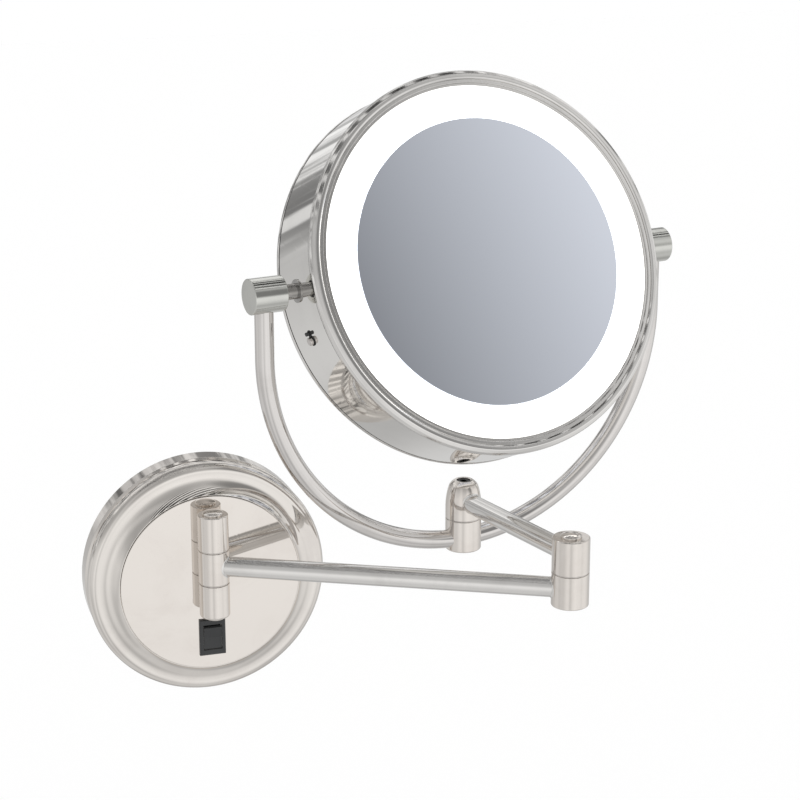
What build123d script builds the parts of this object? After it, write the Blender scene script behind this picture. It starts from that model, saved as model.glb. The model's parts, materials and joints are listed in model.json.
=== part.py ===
from build123d import *
from math import asin, cos, degrees, radians, sin, sqrt
import os

# Lit double-sided mirror on a folding two-arm wall bracket.
# Millimetres. +Z is up and the wall is the plane Y = 0, so the mirror reaches out along -Y.
# The origin is the centre of the round base, on the wall.

# ---- driving dimensions -------------------------------------------------------------------
base_radius = 60.0            # round wall base
band_height = 9.2             # plain outer band of the base, off the wall
bead_radius = 6.5             # half-round bead in front of the band
bead_centre_radius = 53.8
bead_centre_height = 15.3
cove_radius = 6.0             # hollow that rises from the bead to the face disc
cover_wall = 1.4
disc_radius = 45.4            # raised flat disc in the middle of the base
disc_front = 26.6             # its front face, off the wall
disc_thickness = 2.0
disc_gap = 0.1                # disc edge to the cover's lip

post_radius = 7.6             # wall post: three knuckles on one bolt
post_gap = 0.4                # post to face disc
wall_knuckle_top = 39.1
wall_knuckle_bottom = -14.4
arm_1_level = 12.1            # height of the lower arm's centreline
arm_1_knuckle_length = 16.8
washer_thickness = 0.6
washer_inset = 0.5            # a washer's edge sits this far inside its knuckles

tube_radius = 5.0             # both arms
tube_wall = 1.0
tube_seat = 4.2               # an arm's tube starts this far from its post's axis
arm_1_length = 176.0          # wall post to elbow
arm_1_heading = -26.9         # degrees from +X, in plan
arm_2_length = 90.8           # elbow to yoke post
arm_2_heading = 105.75
elbow_radius = 9.2
arm_2_knuckle_length = 17.2
yoke_post_radius = 9.2
yoke_dome_height = 19.5       # domed knuckle at the far end of the upper arm
dome_straight = 6.0           # height before its side starts to draw in
dome_shoulder = (7.5, 3.0)    # radius of the shoulder, and its drop below the top
dome_flat = 4.8               # radius of the flat top

bolt_radius = 3.0             # wall post and elbow bolts
yoke_screw_radius = 2.2       # shoulder screw down through the yoke post
yoke_screw_head = 3.3
running = 0.05                # radial clearance of a turning fit
cap_radius = 5.2              # round cap over a bolt's end
cap_height = 2.0

yoke_heading = 10.4           # plan direction of the yoke and of the tilt axis
yoke_radius = 109.4           # centreline of the yoke's half circle
yoke_leg = 31.5               # straight leg above the half circle
bar_radius = 4.64
yoke_bar_level = 9.8          # lowest point of the bar's centreline
yoke_knuckle_length = 16.6
barrel_radius = 8.75          # barrels on the yoke's ends
barrel_length = 17.0
barrel_inset = 0.8            # a barrel sits this far inboard of its leg
barrel_end_wall = 2.6

head_radius = 95.3            # bezels
head_half_depth = 20.3        # widest edge of a bezel, from the tilt axis
head_offset = 3.0             # the head sits this far to the right of the yoke's middle
head_tilt = 23.2              # degrees, the front face tipped up
drum_radius = 94.9
drum_wall = 1.6
bezel_seat = 17.6             # the drum's ends, from the tilt axis
bezel_crown = 22.8            # frontmost line of a bezel
ring_radius = 87.1            # lit ring's outer edge, inside the bezel's lip
lip_depth = 0.9
glass_radius = 71.2
glass_thickness = 3.0
glass_front = 21.5
glass_gap = 0.3               # glass to diffuser
diffuser_front = 21.0
diffuser_thickness = 2.0
plate_inner = 6.6             # inner face of each carrier plate
plate_thickness = 1.4
board_thickness = 1.2
led_count = 48
led_size = (3.5, 2.8, 0.8)

pin_radius = 3.8              # tilt pins
boss_radius = 5.7
boss_height = 0.6             # stands off the drum
ring_thickness = 0.6          # friction ring on each barrel
ring_width = 1.1
pin_inner_end = 80.0          # the pin's end inside the drum, from the head's middle
nut_radius = 5.8
nut_thickness = 4.0

rocker_width = 13.2           # rocker switch on the face disc
rocker_height = 19.2
rocker_centre = -28.8
frame_depth = 1.5             # frame stands off the disc
paddle_width = 9.0
paddle_height = 12.6
paddle_swing = 7.0            # degrees either side of level

large_button_radius = 2.0     # two push buttons on the drum, under the left tilt pin
large_button_angle = 15.0     # degrees below the pin, round the drum
small_button_radius = 0.95
small_button_angle = 12.75
button_height = 2.2           # stands off the drum when it isn't pressed
button_travel = 0.8
button_clearance = 0.08
collar_width = 0.55           # black collar round each button
collar_height = 0.35          # stands off the drum
housing_size = (7.0, 9.0, 13.0)   # behind the drum's wall: deep, wide, tall
housing_wall = 1.0

bracket_radius = 50.0
bracket_thickness = 2.0
screw_spacing = 69.85         # wall screws, a standard round junction box
screw_hole_radius = 2.25
inlet_radius = 8.0            # where the house wiring comes through
inlet_drop = 20.0             # its centre, below the bracket's
ear_size = (8.0, 12.0)        # tabs that take the cover's screws: off the wall, across

# ---- positions worked out from the sizes above --------------------------------------------
post_y = -(disc_front + post_gap + post_radius)
wall_post = Vector(0, post_y, 0)


def heading(angle):
    """Level unit vector at an angle from +X."""
    return Vector(cos(radians(angle)), sin(radians(angle)), 0)


elbow = wall_post + heading(arm_1_heading) * arm_1_length
yoke_post = elbow + heading(arm_2_heading) * arm_2_length

arm_1_low = arm_1_level - arm_1_knuckle_length / 2
arm_1_high = arm_1_level + arm_1_knuckle_length / 2
arm_2_low = arm_1_high + washer_thickness
arm_2_high = arm_2_low + arm_2_knuckle_length
arm_2_level = (arm_2_low + arm_2_high) / 2
dome_top = arm_2_low + yoke_dome_height
yoke_knuckle_high = arm_1_high
yoke_knuckle_low = yoke_knuckle_high - yoke_knuckle_length

tilt_height = yoke_bar_level + yoke_radius + yoke_leg
yoke_frame = Pos(yoke_post.X, yoke_post.Y, tilt_height) * Rot(0, 0, yoke_heading)
head_frame = yoke_frame * Pos(head_offset, 0, 0) * Rot(-head_tilt, 0, 0)


# ---- helpers ------------------------------------------------------------------------------
def post(radius, low, high, place):
    """Upright cylinder between two heights at a place in plan."""
    return Pos(place.X, place.Y, low) * Cylinder(
        radius, high - low, align=(Align.CENTER, Align.CENTER, Align.MIN))


def rod_x(radius, start, end):
    """Cylinder along X between two X values."""
    return Pos(start, 0, 0) * Rot(0, 90, 0) * Cylinder(
        radius, end - start, align=(Align.CENTER, Align.CENTER, Align.MIN))


def rod_y(radius, start, end):
    """Cylinder along Y between two Y values, start below end."""
    return Pos(0, start, 0) * Rot(-90, 0, 0) * Cylinder(
        radius, end - start, align=(Align.CENTER, Align.CENTER, Align.MIN))


def turned(edges):
    """Solid of revolution about the Y axis from a closed outline in the XY plane."""
    return revolve(make_face(Wire(edges)), Axis.Y, 360)


def outline(points):
    """Straight edges through the points, closed."""
    loop = list(points) + [points[0]]
    return [Line(a, b) for a, b in zip(loop, loop[1:])]


def ring_y(inner, outer, start, end):
    """Flat ring about the Y axis between two Y values."""
    low, high = min(start, end), max(start, end)
    body = rod_y(outer, low, high)
    if inner:
        body -= rod_y(inner, low - 1, high + 1)
    return body


def on_circle(centre, radius, angle):
    """Point on a circle in the XY plane, the angle in degrees from +X."""
    return (centre[0] + radius * cos(radians(angle)), centre[1] + radius * sin(radians(angle)))


def rounded_end(body, axis, which, radius):
    """Round the circular edge at one end of a body along an axis."""
    edge = body.edges().filter_by(GeomType.CIRCLE).sort_by(axis)[which]
    return fillet(edge, radius)


nodes = {}

# ---- wall base ----------------------------------------------------------------------------
bead = (bead_centre_radius, -bead_centre_height)
bead_start, bead_end = 45, -100              # bead's arc, degrees from +X in the outline's plane
cove = on_circle(bead, bead_radius + cove_radius, bead_end)
cove_start = bead_end + 180                  # where the cove leaves the bead, smooth
lip_height = disc_front - 0.7
seat_height = disc_front - disc_thickness
seat_width = 6.4


def arc(centre, radius, first, last):
    """Arc about a centre from one angle to another, degrees from +X."""
    return ThreePointArc(on_circle(centre, radius, first), on_circle(centre, radius, (first + last) / 2),
                         on_circle(centre, radius, last))


def cove_angle(radius, height):
    """Angle at which a circle about the cove's centre reaches a height off the wall."""
    return 180 - degrees(asin((-height - cove[1]) / radius))


def base_cover():
    """Thin turned cover: band, groove, half-round bead, cove, and a seat for the face disc."""
    lip = disc_radius + disc_gap
    seat_inner = disc_radius - seat_width
    under = seat_height - cover_wall
    groove = (base_radius - 1.1, -band_height - 0.8)
    inner_band = base_radius - cover_wall
    outer_bead = arc(bead, bead_radius, bead_start, bead_end)
    outer_cove = arc(cove, cove_radius, cove_start, cove_angle(cove_radius, lip_height))
    inner_radius = cove_radius + cover_wall
    inner_cove = arc(cove, inner_radius, cove_angle(inner_radius, under), cove_start)
    inner_bead = arc(bead, bead_radius - cover_wall, bead_end, bead_start)
    return turned([
        Line((base_radius, 0), (base_radius, -band_height)),
        Line((base_radius, -band_height), groove),
        Line(groove, outer_bead @ 0),
        outer_bead,
        outer_cove,
        Line(outer_cove @ 1, (lip, -lip_height)),
        Line((lip, -lip_height), (lip, -seat_height)),
        Line((lip, -seat_height), (seat_inner, -seat_height)),
        Line((seat_inner, -seat_height), (seat_inner, -under)),
        Line((seat_inner, -under), inner_cove @ 0),
        inner_cove,
        inner_bead,
        Line(inner_bead @ 1, (inner_band - cover_wall, -band_height)),
        Line((inner_band - cover_wall, -band_height), (inner_band, -band_height + cover_wall)),
        Line((inner_band, -band_height + cover_wall), (inner_band, 0)),
        Line((inner_band, 0), (base_radius, 0)),
    ])


cover_screw_angles = (-50, -130)             # round the base, degrees from +X
cover_screw_height = 5.0
cover_screw_radius = 1.5
screw_clearance = 0.05


def radial(body, angle, height):
    """Turn a body that lies along +X to an angle round the base, at a height off the wall."""
    return Rot(0, -angle, 0) * Pos(0, -height, 0) * body


cover = base_cover()
for angle in cover_screw_angles:
    clearance_hole = rod_x(cover_screw_radius + screw_clearance, disc_radius, base_radius + 2)
    cover -= radial(clearance_hole, angle, cover_screw_height)
nodes["base_cover"] = cover

stem_radius = 3.4
stem_end = -17.0                             # stems reach this far behind the disc
stem_heights = ((arm_1_high + washer_thickness + wall_knuckle_top) / 2,
                (arm_1_low - washer_thickness + wall_knuckle_bottom) / 2)
disc_back = -seat_height
disc = ring_y(0, disc_radius, -disc_front, disc_back)
disc = rounded_end(disc, Axis.Y, 0, 0.4)
for height in stem_heights:
    disc -= Pos(0, 0, height) * rod_y(stem_radius, -disc_front - 1, disc_back + 1)
rocker_body_width = rocker_width - 1.6
rocker_body_height = rocker_height - 1.6
rocker_hole = Box(rocker_body_width, 2 * disc_thickness + 2, rocker_body_height)
disc -= Pos(0, -disc_front, rocker_centre) * rocker_hole
nodes["face_disc"] = disc


def fixed_knuckle(low, high, stem_height):
    """Fixed knuckle of the wall post with its stem through the face disc."""
    body = post(post_radius, low, high, wall_post)
    body += Pos(0, 0, stem_height) * rod_y(stem_radius + 1.6, post_y, -disc_front)
    body += Pos(0, 0, stem_height) * rod_y(stem_radius, post_y, stem_end)
    return body - post(bolt_radius, low - 1, high + 1, wall_post)


nodes["wall_post_top"] = fixed_knuckle(arm_1_high + washer_thickness, wall_knuckle_top, stem_heights[0])
nodes["wall_post_foot"] = fixed_knuckle(wall_knuckle_bottom, arm_1_low - washer_thickness, stem_heights[1])

stem_nuts = []
for height in stem_heights:
    nut = Rot(-90, 0, 0) * extrude(RegularPolygon(6.4, 6, major_radius=False), nut_thickness)
    nut -= rod_y(stem_radius, -1, nut_thickness + 1)
    stem_nuts.append(Pos(0, disc_back, height) * nut)
nodes["post_nuts"] = Compound(stem_nuts)


def washer(place, radius, low, hole):
    """Thin bearing washer between two knuckles."""
    return post(radius - washer_inset, low, low + washer_thickness, place) - post(
        hole, low - 1, low + 2, place)


nodes["wall_washers"] = Compound([
    washer(wall_post, post_radius, arm_1_high, bolt_radius),
    washer(wall_post, post_radius, arm_1_low - washer_thickness, bolt_radius),
])


def domed_cap(place, face, up=1):
    """Low round cap over a bolt's end, standing on a face of its post."""
    body = Cylinder(cap_radius, cap_height, align=(Align.CENTER, Align.CENTER, Align.MIN))
    body = rounded_end(body, Axis.Z, -1, cap_height * 0.6)
    if up < 0:
        body = Rot(180, 0, 0) * body
    return Pos(place.X, place.Y, face) * body


nodes["wall_bolt"] = post(bolt_radius, wall_knuckle_bottom, wall_knuckle_top, wall_post)
nodes["wall_bolt_caps"] = Compound([
    domed_cap(wall_post, wall_knuckle_top),
    domed_cap(wall_post, wall_knuckle_bottom, -1),
])

ear_inner = bracket_radius - 3
ear_outer = base_radius - cover_wall - 0.6
ear = Box(ear_outer - ear_inner, ear_size[0], ear_size[1], align=(Align.MIN, Align.MAX, Align.CENTER))
bracket = rod_y(bracket_radius, -bracket_thickness, 0)
bracket -= Pos(0, 0, -inlet_drop) * rod_y(inlet_radius, -bracket_thickness - 1, 1)
for angle in cover_screw_angles:
    bracket += Rot(0, -angle, 0) * Pos(ear_inner, 0, 0) * ear
    bracket -= radial(rod_x(cover_screw_radius, ear_inner - 1, ear_outer + 1), angle, cover_screw_height)
for side in (-1, 1):
    bracket -= Pos(side * screw_spacing / 2, 0, 0) * rod_y(screw_hole_radius, -bracket_thickness - 1, 1)
nodes["wall_bracket"] = bracket

nodes["cover_screws"] = Compound([
    radial(rod_x(cover_screw_radius, ear_inner + 1, base_radius - 0.2), angle, cover_screw_height)
    for angle in cover_screw_angles])

driver_size = (46.0, 13.0, 26.0)
driver = Pos(0, -bracket_thickness - driver_size[1] / 2, 27) * Box(*driver_size)
nodes["led_driver"] = fillet(driver.edges().filter_by(Axis.Y), 2)

block = Pos(-28, -bracket_thickness - 5, -24) * Box(24, 10, 12)
for x in (-36, -28, -20):
    block -= Pos(x, 0, -24) * rod_y(1.8, -bracket_thickness - 11, -bracket_thickness - 6)
nodes["terminal_block"] = block

# ---- rocker switch on the face disc -------------------------------------------------------
rocker_well = (paddle_width + 0.6, paddle_height + 0.8)
switch_bottom = disc_back + 13.0
frame = Pos(0, -disc_front, rocker_centre) * Box(
    rocker_width, frame_depth, rocker_height, align=(Align.CENTER, Align.MAX, Align.CENTER))
frame = chamfer(frame.faces().sort_by(Axis.Y)[0].edges(), 0.5)
frame += Pos(0, -disc_front, rocker_centre) * Box(
    rocker_body_width, switch_bottom + disc_front, rocker_body_height,
    align=(Align.CENTER, Align.MIN, Align.CENTER))
well_depth = 7.0
frame -= Pos(0, -disc_front - frame_depth - 1, rocker_centre) * Box(
    rocker_well[0], well_depth + 1, rocker_well[1], align=(Align.CENTER, Align.MIN, Align.CENTER))
rocker_axis_y = -disc_front + 1.2
nodes["rocker_frame"] = frame

rocker_pivot_radius = 0.8
nodes["rocker_pivot"] = Pos(0, rocker_axis_y, rocker_centre) * rod_x(
    rocker_pivot_radius, -rocker_well[0] / 2, rocker_well[0] / 2)

paddle_crest = 3.0                           # a raised end, in front of the pivot
paddle_points = [
    (-paddle_height / 2, -1.6), (-paddle_height / 2 + 0.4, -paddle_crest), (0, -2.2),
    (paddle_height / 2 - 0.4, -paddle_crest), (paddle_height / 2, -1.6),
    (paddle_height / 2 - 2.2, 1.6), (-paddle_height / 2 + 2.2, 1.6),
]
paddle = extrude(make_face(Wire(outline(paddle_points))), paddle_width / 2, both=True)
paddle -= Cylinder(rocker_pivot_radius + running, 2 * paddle_width)
paddle = Pos(0, rocker_axis_y, rocker_centre) * Rot(paddle_swing, 0, 0) * Rot(0, -90, 0) * paddle
nodes["rocker_paddle"] = paddle

tab = Box(4.8, 8.0, 0.8, align=(Align.CENTER, Align.MIN, Align.CENTER))
nodes["rocker_terminals"] = Compound([
    Pos(0, switch_bottom, rocker_centre + dz) * tab for dz in (-4.5, 4.5)])


# ---- arms ---------------------------------------------------------------------------------
def along(body, place, angle, level):
    """Put a body that lies along +X on an arm's line."""
    return Pos(place.X, place.Y, level) * Rot(0, 0, angle) * body


def arm_tube(place, angle, length, level):
    """Round tube between the seats of its two knuckles."""
    body = rod_x(tube_radius, tube_seat, length - tube_seat)
    body -= rod_x(tube_radius - tube_wall, 0, length)
    return along(body, place, angle, level)


def arm_seats(place, angle, length, level):
    """The space that an arm's tube takes out of its knuckles."""
    return along(rod_x(tube_radius, tube_seat, length - tube_seat), place, angle, level)


arm_1_seats = arm_seats(wall_post, arm_1_heading, arm_1_length, arm_1_level)
arm_2_seats = arm_seats(elbow, arm_2_heading, arm_2_length, arm_2_level)

knuckle = post(post_radius, arm_1_low, arm_1_high, wall_post)
knuckle -= post(bolt_radius + running, arm_1_low - 1, arm_1_high + 1, wall_post)
nodes["arm_1_wall_knuckle"] = knuckle - arm_1_seats
nodes["arm_1_tube"] = arm_tube(wall_post, arm_1_heading, arm_1_length, arm_1_level)
knuckle = post(elbow_radius, arm_1_low, arm_1_high, elbow)
knuckle -= post(bolt_radius, arm_1_low - 1, arm_1_high + 1, elbow)
nodes["arm_1_elbow_knuckle"] = knuckle - arm_1_seats
nodes["elbow_bolt"] = post(bolt_radius, arm_1_low, arm_2_high, elbow)
nodes["elbow_caps"] = Compound([domed_cap(elbow, arm_2_high), domed_cap(elbow, arm_1_low, -1)])

nodes["elbow_washer"] = washer(elbow, elbow_radius, arm_1_high, bolt_radius)
knuckle = post(elbow_radius, arm_2_low, arm_2_high, elbow)
knuckle -= post(bolt_radius + running, arm_2_low - 1, arm_2_high + 1, elbow)
nodes["arm_2_elbow_knuckle"] = knuckle - arm_2_seats
nodes["arm_2_tube"] = arm_tube(elbow, arm_2_heading, arm_2_length, arm_2_level)



def domed_knuckle():
    """Knuckle whose side draws in to a rounded shoulder and a small flat top."""
    foot = (yoke_post_radius, arm_2_low)
    waist = (yoke_post_radius, arm_2_low + dome_straight)
    side = TangentArc(waist, (dome_shoulder[0], dome_top - dome_shoulder[1]), tangent=(0, 1))
    crown = TangentArc(side @ 1, (dome_flat, dome_top), tangent=side % 1)
    section = make_face(Wire([
        Line((0, arm_2_low), foot), Line(foot, waist), side, crown,
        Line((dome_flat, dome_top), (0, dome_top)), Line((0, dome_top), (0, arm_2_low))]))
    return revolve(Rot(90, 0, 0) * section, Axis.Z, 360)


screw_head_seat = dome_top - 4.0
dome = Pos(yoke_post.X, yoke_post.Y, 0) * domed_knuckle()
dome -= post(yoke_screw_radius + running, arm_2_low - 1, screw_head_seat + 1, yoke_post)
dome -= post(yoke_screw_head + 0.2, screw_head_seat, dome_top + 1, yoke_post)
nodes["arm_2_yoke_knuckle"] = dome - arm_2_seats
nodes["yoke_washer"] = washer(yoke_post, yoke_post_radius, arm_1_high, yoke_screw_radius)

# ---- yoke ---------------------------------------------------------------------------------
screw_stop = yoke_bar_level + bar_radius + 1.0
screw_top = dome_top - 0.5
hex_depth = 2.2
screw = post(yoke_screw_radius, screw_stop, screw_head_seat, yoke_post)
screw += post(yoke_screw_head, screw_head_seat, screw_top, yoke_post)
socket = extrude(RegularPolygon(1.5, 6, major_radius=False), hex_depth + 1)
screw -= Pos(yoke_post.X, yoke_post.Y, screw_top - hex_depth) * socket
nodes["yoke_screw"] = screw


def yoke_bar():
    """Round bar bent to a half circle with two straight legs, in the yoke's own frame."""
    section = Pos(yoke_radius, 0) * Circle(bar_radius)
    body = Pos(0, 0, -yoke_leg) * revolve(section, Axis.Y, 180)
    for side in (-1, 1):
        body += Pos(side * yoke_radius, 0, -yoke_leg) * Cylinder(
            bar_radius, yoke_leg - pin_radius - 0.9, align=(Align.CENTER, Align.CENTER, Align.MIN))
    return body


bar = yoke_frame * yoke_bar()
nodes["yoke_bar"] = bar
knuckle = post(yoke_post_radius, yoke_knuckle_low, yoke_knuckle_high, yoke_post)
knuckle -= post(yoke_screw_radius, screw_stop - 0.3, yoke_knuckle_high + 1, yoke_post)
nodes["yoke_knuckle"] = knuckle - bar

barrel_middle = yoke_radius - barrel_inset
barrel_inner = barrel_middle - barrel_length / 2
barrel_outer = barrel_middle + barrel_length / 2
bore_end = barrel_outer - barrel_end_wall


def barrel():
    """Barrel on the yoke's right-hand leg: blind bore for the tilt pin, open towards the head."""
    body = rod_x(barrel_radius, barrel_inner, barrel_outer)
    body = rounded_end(body, Axis.X, -1, 0.5)
    return body - rod_x(pin_radius + running, barrel_inner - 1, bore_end)


def half_turn(side):
    """Leaves the right-hand side, 1, as it is drawn, and turns it to the left-hand side for -1."""
    return Rot(0, 0, 0 if side > 0 else 180)


for side, name in ((-1, "left_barrel"), (1, "right_barrel")):
    nodes[name] = yoke_frame * half_turn(side) * barrel() - bar

friction_ring = rod_x(pin_radius + ring_width, barrel_inner - ring_thickness, barrel_inner)
friction_ring -= rod_x(pin_radius + running, barrel_inner - 2, barrel_inner + 1)
nodes["friction_rings"] = Compound([
    yoke_frame * half_turn(side) * friction_ring for side in (1, -1)])


# ---- head ---------------------------------------------------------------------------------
# The head is drawn facing -Y with its tilt axis along X, then put in place as one.
def placed(body):
    """Put a body drawn in the head's own frame in its place."""
    return head_frame * body


def side_face(body, side):
    """Copy a body drawn on the front (-Y) side to the front, side -1, or the rear, side +1."""
    return placed(body if side < 0 else Rot(0, 0, 180) * body)


pin_reach = (bore_end - 0.4 + head_offset, bore_end - 0.4 - head_offset)   # left, right


def pin_hole(radius):
    """Clears both tilt pins through the drum."""
    return rod_x(radius, -drum_radius - 2, -pin_inner_end + 1) + rod_x(
        radius, pin_inner_end - 1, drum_radius + 2)




def below_pin(angle):
    """Turns a body that lies along +X to point out of the drum, below the left tilt pin."""
    return Rot(0, 180 - angle, 0)


buttons = {
    "large_button": (large_button_radius, below_pin(large_button_angle)),
    "small_button": (small_button_radius, below_pin(small_button_angle)),
}
housing_place = below_pin((large_button_angle + small_button_angle) / 2)
drum = ring_y(drum_radius - drum_wall, drum_radius, -bezel_seat, bezel_seat)
drum -= pin_hole(pin_radius)
for radius, place in buttons.values():
    drum -= place * rod_x(radius + button_clearance + collar_width, drum_radius - 6, drum_radius + 6)
nodes["drum_shell"] = placed(drum)


def bezel():
    """Stepped ring over the front end of the drum, its section turned about the head's axis."""
    crown = -bezel_crown
    back = -(diffuser_front)
    lip = -(diffuser_front + lip_depth)
    edges = [
        Line((drum_radius - drum_wall, -bezel_seat), (drum_radius - 0.5, -bezel_seat)),
        Line((drum_radius - 0.5, -bezel_seat), (drum_radius - 0.5, -bezel_seat - 0.5)),
        Line((drum_radius - 0.5, -bezel_seat - 0.5), (head_radius, -bezel_seat - 0.9)),
        Line((head_radius, -bezel_seat - 0.9), (head_radius, -head_half_depth)),
        ThreePointArc((head_radius, -head_half_depth), (head_radius - 1.0, crown + 0.75),
                      (head_radius - 3.2, crown)),
        Line((head_radius - 3.2, crown), (ring_radius + 3.0, crown + 0.5)),
        Line((ring_radius + 3.0, crown + 0.5), (ring_radius + 2.6, lip)),
        Line((ring_radius + 2.6, lip), (ring_radius, lip)),
        Line((ring_radius, lip), (ring_radius, back)),
        Line((ring_radius, back), (drum_radius - drum_wall - 2.4, back)),
        Line((drum_radius - drum_wall - 2.4, back), (drum_radius - drum_wall - 2.4, -bezel_seat + 2.0)),
        Line((drum_radius - drum_wall - 2.4, -bezel_seat + 2.0),
             (drum_radius - drum_wall - 0.1, -bezel_seat + 2.0)),
        Line((drum_radius - drum_wall - 0.1, -bezel_seat + 2.0),
             (drum_radius - drum_wall - 0.1, -bezel_seat)),
        Line((drum_radius - drum_wall - 0.1, -bezel_seat), (drum_radius - drum_wall, -bezel_seat)),
    ]
    return turned(edges)


diffuser_outer = drum_radius - drum_wall - 2.5
diffuser_back = diffuser_front - diffuser_thickness
plate_outer = plate_inner + plate_thickness
board_top = plate_outer + board_thickness
glass_back = glass_front - glass_thickness
board_inner, board_outer = glass_radius + 3, ring_radius - 2

sides = ((-1, "front"), (1, "rear"))
one_bezel = bezel()
one_diffuser = ring_y(glass_radius + glass_gap, diffuser_outer, -diffuser_front, -diffuser_back)
one_plate = ring_y(10, drum_radius - drum_wall - 0.1, -plate_outer, -plate_inner)
cup_wall = 1.6
one_cup = ring_y(glass_radius - 2.4 - cup_wall, glass_radius - 2.4, -glass_back, -plate_outer)
one_cup += ring_y(0, glass_radius - 2.4, -glass_back, -glass_back + cup_wall)
one_board = ring_y(board_inner, board_outer, -board_top, -plate_outer)
led = Box(led_size[0], led_size[2], led_size[1], align=(Align.CENTER, Align.MAX, Align.CENTER))
led_row = (board_inner + board_outer) / 2
one_led_set = Compound([
    Rot(0, 360 / led_count * i, 0) * Pos(0, -board_top, led_row) * led for i in range(led_count)])
for side, name in sides:
    nodes[name + "_bezel"] = side_face(one_bezel, side)
    nodes[name + "_diffuser"] = side_face(one_diffuser, side)
    nodes[name + "_carrier_plate"] = side_face(one_plate, side)
    nodes[name + "_mirror_cup"] = side_face(one_cup, side)
    nodes[name + "_led_board"] = side_face(one_board, side)
    nodes[name + "_leds"] = side_face(one_led_set, side)

flat_glass = ring_y(0, glass_radius, -glass_front, -glass_back)
nodes["front_mirror"] = side_face(rounded_end(flat_glass, Axis.Y, 0, 0.6), -1)
magnifier_radius = 1200.0                    # hollow of the magnifying glass on the rear
hollow_rim = glass_radius - 1.0
hollow = Pos(0, -glass_front - sqrt(magnifier_radius ** 2 - hollow_rim ** 2), 0) * Sphere(magnifier_radius)
nodes["rear_mirror"] = side_face(flat_glass - hollow, 1)

# ---- tilt pins and push buttons -----------------------------------------------------------
def rounded_button(body, radius):
    """Round the outer edge of a push button that points out of the drum."""
    edges = body.edges().filter_by(GeomType.CIRCLE)
    outer = max(edges, key=lambda edge: edge.arc_center.length)
    return fillet(outer, radius * 0.3)


nut_seat = sqrt((drum_radius - drum_wall) ** 2 - nut_radius ** 2) - 0.1
nut = Pos(nut_seat - nut_thickness, 0, 0) * Rot(0, 90, 0) * extrude(
    RegularPolygon(nut_radius, 6), nut_thickness)
nut -= rod_x(pin_radius, 0, drum_radius)
boss = rod_x(boss_radius, drum_radius - boss_radius / 2, drum_radius + boss_height)
boss -= rod_y(drum_radius, -bezel_seat, bezel_seat)
boss -= rod_x(pin_radius, 0, 2 * drum_radius)
pins, pin_nuts, bosses = [], [], []
for side, reach in ((-1, pin_reach[0]), (1, pin_reach[1])):
    pins.append(placed(half_turn(side) * rod_x(pin_radius, pin_inner_end, reach)))
    pin_nuts.append(placed(half_turn(side) * nut))
    bosses.append(placed(half_turn(side) * boss))
nodes["tilt_pins"] = Compound(pins)
nodes["tilt_pin_nuts"] = Compound(pin_nuts)
nodes["tilt_bosses"] = Compound(bosses)

housing_face = sqrt((drum_radius - drum_wall) ** 2 - (housing_size[2] / 2) ** 2) - 0.1
housing = Pos(housing_face, 0, 0) * Box(*housing_size, align=(Align.MAX, Align.CENTER, Align.CENTER))
housing -= Pos(housing_face - housing_wall, 0, 0) * Box(
    *(size - 2 * housing_wall for size in housing_size), align=(Align.MAX, Align.CENTER, Align.CENTER))
housing = housing_place * housing
collars = []
for name, (radius, place) in buttons.items():
    bore = radius + button_clearance
    housing -= place * rod_x(bore, housing_face - 2 * housing_wall, drum_radius)
    stem = place * rod_x(radius, housing_face - housing_wall - button_travel, drum_radius + button_height)
    nodes[name] = placed(rounded_button(stem, radius))
    collar = rod_x(bore + collar_width, drum_radius - drum_wall, drum_radius + collar_height)
    collars.append(placed(place * (collar - rod_x(bore, 0, 2 * drum_radius))))
nodes["button_housing"] = placed(housing)
nodes["button_collars"] = Compound(collars)

# ---- write every node ---------------------------------------------------------------------
os.makedirs("parts", exist_ok=True)
for name, body in nodes.items():
    export_step(body, f"parts/{name}.step")
print(len(nodes), "nodes")
for name, place in (("wall post", wall_post), ("elbow", elbow), ("yoke post", yoke_post)):
    print(name, [round(v, 4) for v in (place.X, place.Y)])
print("tilt axis height", tilt_height, "levels", arm_1_low, arm_1_high, arm_2_low, arm_2_high, dome_top)
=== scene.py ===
import json

import bmesh
import bpy
import numpy as np
from math import atan2, cos, pi, radians, sin
from mathutils import Matrix, Vector


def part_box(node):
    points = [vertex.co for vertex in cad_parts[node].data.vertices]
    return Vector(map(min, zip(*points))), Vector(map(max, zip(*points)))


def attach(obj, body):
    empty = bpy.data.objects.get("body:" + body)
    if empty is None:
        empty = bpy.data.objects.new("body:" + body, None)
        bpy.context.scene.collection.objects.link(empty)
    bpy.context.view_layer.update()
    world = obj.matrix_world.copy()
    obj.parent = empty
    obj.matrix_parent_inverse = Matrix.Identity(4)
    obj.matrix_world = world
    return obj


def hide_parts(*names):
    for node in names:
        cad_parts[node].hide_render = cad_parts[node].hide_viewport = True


# Looks for the lit two-sided mirror on its folding wall bracket. The frame is in metres; the
# sizes of the turned pieces are written in millimetres and scaled by MM where a mesh is made.

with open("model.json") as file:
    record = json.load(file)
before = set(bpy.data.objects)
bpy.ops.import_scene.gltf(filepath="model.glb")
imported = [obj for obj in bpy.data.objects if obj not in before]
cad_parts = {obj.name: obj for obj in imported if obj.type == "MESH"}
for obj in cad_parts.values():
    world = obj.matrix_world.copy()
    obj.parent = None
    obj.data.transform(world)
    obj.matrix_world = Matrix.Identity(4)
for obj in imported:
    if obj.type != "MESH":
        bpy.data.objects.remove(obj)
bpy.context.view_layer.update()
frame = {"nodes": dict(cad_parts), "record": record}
MM = 0.001

# ---- places, from the frame ---------------------------------------------------------------
joints = {joint["name"]: joint for joint in frame["record"]["behaviour"]["joints"]}


def joint_place(name):
    """Point on a joint's axis, in metres."""
    return Vector(joints[name]["pos_m"])


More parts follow.
